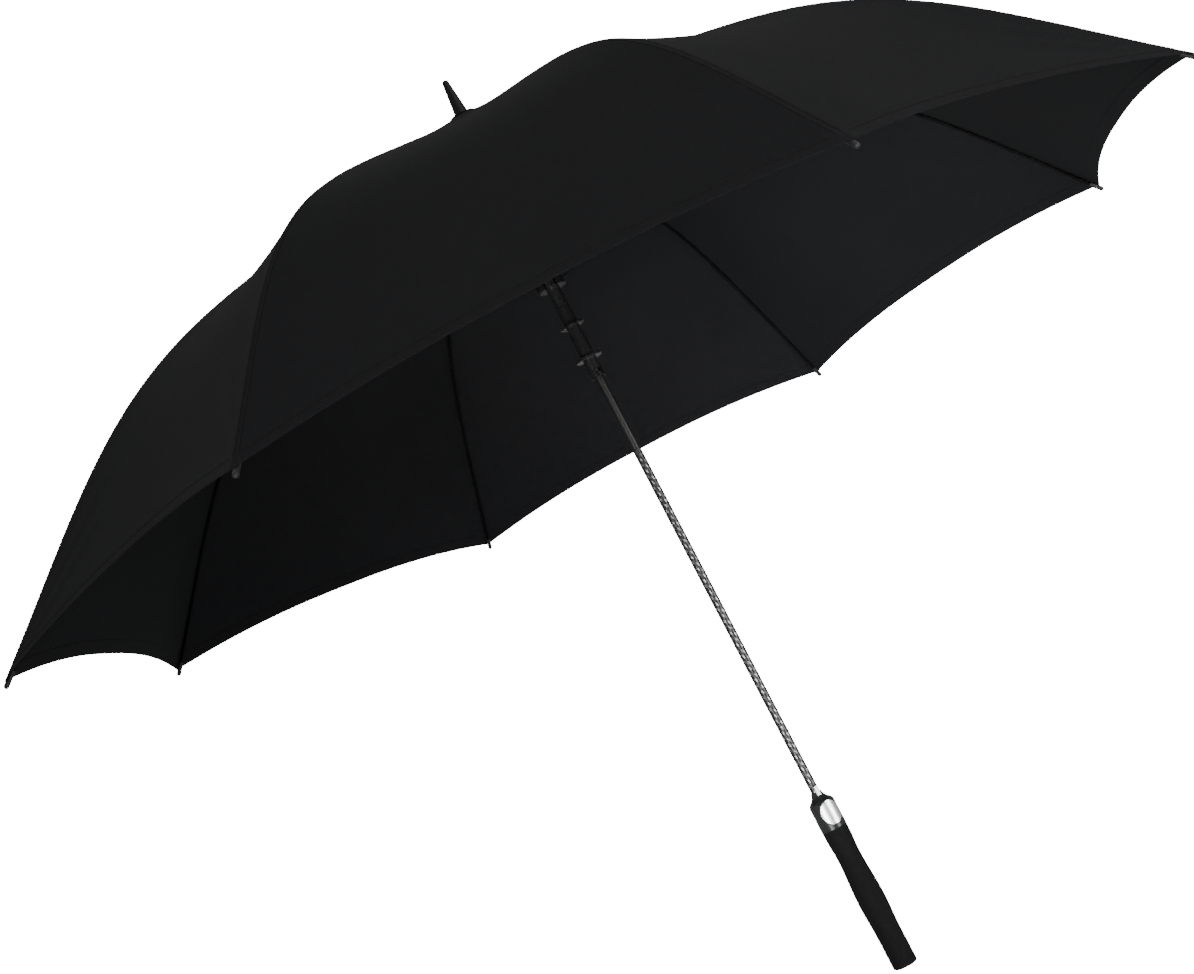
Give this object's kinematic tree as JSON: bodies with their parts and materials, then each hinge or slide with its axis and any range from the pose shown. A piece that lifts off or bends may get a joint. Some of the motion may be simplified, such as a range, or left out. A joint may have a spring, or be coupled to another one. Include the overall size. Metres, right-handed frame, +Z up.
{
  "type": "golf umbrella",
  "caption": "Open golf umbrella: wide scalloped canopy on hinged ribs and stretchers, sliding runner, slim patterned shaft, push button and straight foam grip.",
  "frame": {"origin": "centre of the handle's flat end face", "axes": "+Z up the shaft to the ferrule, -Y the way that the push button and rib 1 face"},
  "size_m": [1.3046, 1.3046, 1.015],
  "materials": {
    "carbon_shaft": "satin",
    "black_plastic": "matte",
    "white_plastic": "satin",
    "steel": "satin",
    "grip_foam": "matte",
    "grey_plastic": "satin",
    "silver_button": "polished",
    "fibreglass": "satin",
    "black_steel": "satin",
    "canopy_fabric": "matte"
  },
  "bodies": {
    "root": {"shaft_tube": "carbon_shaft", "ferrule": "black_plastic", "canopy_washer": "black_plastic", "top_notch": "black_plastic", "notch_wire": "steel", "notch_pin": "steel", "opening_spring": "steel", "handle_core": "black_plastic", "handle_pin": "steel", "end_plug": "black_plastic", "foam_grip": "grip_foam", "handle_collar": "grey_plastic"},
    "runner": {"runner": "black_plastic", "runner_wire": "steel", "plunger": "white_plastic", "runner_key": "steel"},
    "push_button": {"push_button": "silver_button", "button_spring": "steel"},
    "latch": {"latch": "steel"},
    "rib_1": {"rib_1": "fibreglass", "rib_tip_1": "grey_plastic", "rib_joint_1": "grey_plastic", "canopy_panel_1": "canopy_fabric"},
    "stretcher_1": {"stretcher_1": "black_steel"},
    "rib_2": {"rib_2": "fibreglass", "rib_tip_2": "grey_plastic", "rib_joint_2": "grey_plastic", "canopy_panel_2": "canopy_fabric"},
    "stretcher_2": {"stretcher_2": "black_steel"},
    "rib_3": {"rib_3": "fibreglass", "rib_tip_3": "grey_plastic", "rib_joint_3": "grey_plastic", "canopy_panel_3": "canopy_fabric"},
    "stretcher_3": {"stretcher_3": "black_steel"},
    "rib_4": {"rib_4": "fibreglass", "rib_tip_4": "grey_plastic", "rib_joint_4": "grey_plastic", "canopy_panel_4": "canopy_fabric"},
    "stretcher_4": {"stretcher_4": "black_steel"},
    "rib_5": {"rib_5": "fibreglass", "rib_tip_5": "grey_plastic", "rib_joint_5": "grey_plastic", "canopy_panel_5": "canopy_fabric"},
    "stretcher_5": {"stretcher_5": "black_steel"},
    "rib_6": {"rib_6": "fibreglass", "rib_tip_6": "grey_plastic", "rib_joint_6": "grey_plastic", "canopy_panel_6": "canopy_fabric"},
    "stretcher_6": {"stretcher_6": "black_steel"},
    "rib_7": {"rib_7": "fibreglass", "rib_tip_7": "grey_plastic", "rib_joint_7": "grey_plastic", "canopy_panel_7": "canopy_fabric"},
    "stretcher_7": {"stretcher_7": "black_steel"},
    "rib_8": {"rib_8": "fibreglass", "rib_tip_8": "grey_plastic", "rib_joint_8": "grey_plastic", "canopy_panel_8": "canopy_fabric"},
    "stretcher_8": {"stretcher_8": "black_steel"}
  },
  "joints": [
    {"name": "runner_slide", "type": "slide", "parent": "root", "child": "runner", "axis": [0, 0, 1], "range_m": [-0.4735, 0], "stiffness_N_per_m": 70, "springref_m": 0.17, "deforming": ["opening_spring"]},
    {"name": "button_press", "type": "slide", "parent": "root", "child": "push_button", "axis": [0, 1, 0], "range_m": [0, 0.0022], "stiffness_N_per_m": 900, "springref_m": -0.001, "deforming": ["button_spring"]},
    {"name": "latch_slide", "type": "slide", "parent": "root", "child": "latch", "axis": [0, 1, 0], "range_m": [0, 0.0007]},
    {"name": "rib_hinge_1", "type": "hinge", "parent": "root", "child": "rib_1", "pos_m": [0, -0.011, 0.966], "axis": [1, 0, 0], "range_deg": [0, 56.62], "deforming": ["canopy_panel_1"]},
    {"name": "stretcher_hinge_1", "type": "hinge", "parent": "rib_1", "child": "stretcher_1", "pos_m": [0, -0.344, 0.8625], "axis": [1, 0, 0], "range_deg": [-115.65, 0]},
    {"name": "rib_hinge_2", "type": "hinge", "parent": "root", "child": "rib_2", "pos_m": [0.00778, -0.00778, 0.966], "axis": [0.7071, 0.7071, 0], "range_deg": [0, 56.62], "deforming": ["canopy_panel_2"]},
    {"name": "stretcher_hinge_2", "type": "hinge", "parent": "rib_2", "child": "stretcher_2", "pos_m": [0.24324, -0.24324, 0.8625], "axis": [0.7071, 0.7071, 0], "range_deg": [-115.65, 0]},
    {"name": "rib_hinge_3", "type": "hinge", "parent": "root", "child": "rib_3", "pos_m": [0.011, 0, 0.966], "axis": [0, 1, 0], "range_deg": [0, 56.62], "deforming": ["canopy_panel_3"]},
    {"name": "stretcher_hinge_3", "type": "hinge", "parent": "rib_3", "child": "stretcher_3", "pos_m": [0.344, 0, 0.8625], "axis": [0, 1, 0], "range_deg": [-115.65, 0]},
    {"name": "rib_hinge_4", "type": "hinge", "parent": "root", "child": "rib_4", "pos_m": [0.00778, 0.00778, 0.966], "axis": [-0.7071, 0.7071, 0], "range_deg": [0, 56.62], "deforming": ["canopy_panel_4"]},
    {"name": "stretcher_hinge_4", "type": "hinge", "parent": "rib_4", "child": "stretcher_4", "pos_m": [0.24324, 0.24324, 0.8625], "axis": [-0.7071, 0.7071, 0], "range_deg": [-115.65, 0]},
    {"name": "rib_hinge_5", "type": "hinge", "parent": "root", "child": "rib_5", "pos_m": [0, 0.011, 0.966], "axis": [-1, 0, 0], "range_deg": [0, 56.62], "deforming": ["canopy_panel_5"]},
    {"name": "stretcher_hinge_5", "type": "hinge", "parent": "rib_5", "child": "stretcher_5", "pos_m": [0, 0.344, 0.8625], "axis": [-1, 0, 0], "range_deg": [-115.65, 0]},
    {"name": "rib_hinge_6", "type": "hinge", "parent": "root", "child": "rib_6", "pos_m": [-0.00778, 0.00778, 0.966], "axis": [-0.7071, -0.7071, 0], "range_deg": [0, 56.62], "deforming": ["canopy_panel_6"]},
    {"name": "stretcher_hinge_6", "type": "hinge", "parent": "rib_6", "child": "stretcher_6", "pos_m": [-0.24324, 0.24324, 0.8625], "axis": [-0.7071, -0.7071, 0], "range_deg": [-115.65, 0]},
    {"name": "rib_hinge_7", "type": "hinge", "parent": "root", "child": "rib_7", "pos_m": [-0.011, 0, 0.966], "axis": [0, -1, 0], "range_deg": [0, 56.62], "deforming": ["canopy_panel_7"]},
    {"name": "stretcher_hinge_7", "type": "hinge", "parent": "rib_7", "child": "stretcher_7", "pos_m": [-0.344, 0, 0.8625], "axis": [0, -1, 0], "range_deg": [-115.65, 0]},
    {"name": "rib_hinge_8", "type": "hinge", "parent": "root", "child": "rib_8", "pos_m": [-0.00778, -0.00778, 0.966], "axis": [0.7071, -0.7071, 0], "range_deg": [0, 56.62], "deforming": ["canopy_panel_8"]},
    {"name": "stretcher_hinge_8", "type": "hinge", "parent": "rib_8", "child": "stretcher_8", "pos_m": [-0.24324, -0.24324, 0.8625], "axis": [0.7071, -0.7071, 0], "range_deg": [-115.65, 0]}
  ],
  "couplings": [
    {"joint": "latch_slide", "follows": "button_press", "ratio": 0.318},
    {"joint": "rib_hinge_1", "follows": "runner_slide", "rad_per_m": -2.0862},
    {"joint": "stretcher_hinge_1", "follows": "runner_slide", "rad_per_m": 4.2621},
    {"joint": "rib_hinge_2", "follows": "runner_slide", "rad_per_m": -2.0862},
    {"joint": "stretcher_hinge_2", "follows": "runner_slide", "rad_per_m": 4.2621},
    {"joint": "rib_hinge_3", "follows": "runner_slide", "rad_per_m": -2.0862},
    {"joint": "stretcher_hinge_3", "follows": "runner_slide", "rad_per_m": 4.2621},
    {"joint": "rib_hinge_4", "follows": "runner_slide", "rad_per_m": -2.0862},
    {"joint": "stretcher_hinge_4", "follows": "runner_slide", "rad_per_m": 4.2621},
    {"joint": "rib_hinge_5", "follows": "runner_slide", "rad_per_m": -2.0862},
    {"joint": "stretcher_hinge_5", "follows": "runner_slide", "rad_per_m": 4.2621},
    {"joint": "rib_hinge_6", "follows": "runner_slide", "rad_per_m": -2.0862},
    {"joint": "stretcher_hinge_6", "follows": "runner_slide", "rad_per_m": 4.2621},
    {"joint": "rib_hinge_7", "follows": "runner_slide", "rad_per_m": -2.0862},
    {"joint": "stretcher_hinge_7", "follows": "runner_slide", "rad_per_m": 4.2621},
    {"joint": "rib_hinge_8", "follows": "runner_slide", "rad_per_m": -2.0862},
    {"joint": "stretcher_hinge_8", "follows": "runner_slide", "rad_per_m": 4.2621}
  ]
}
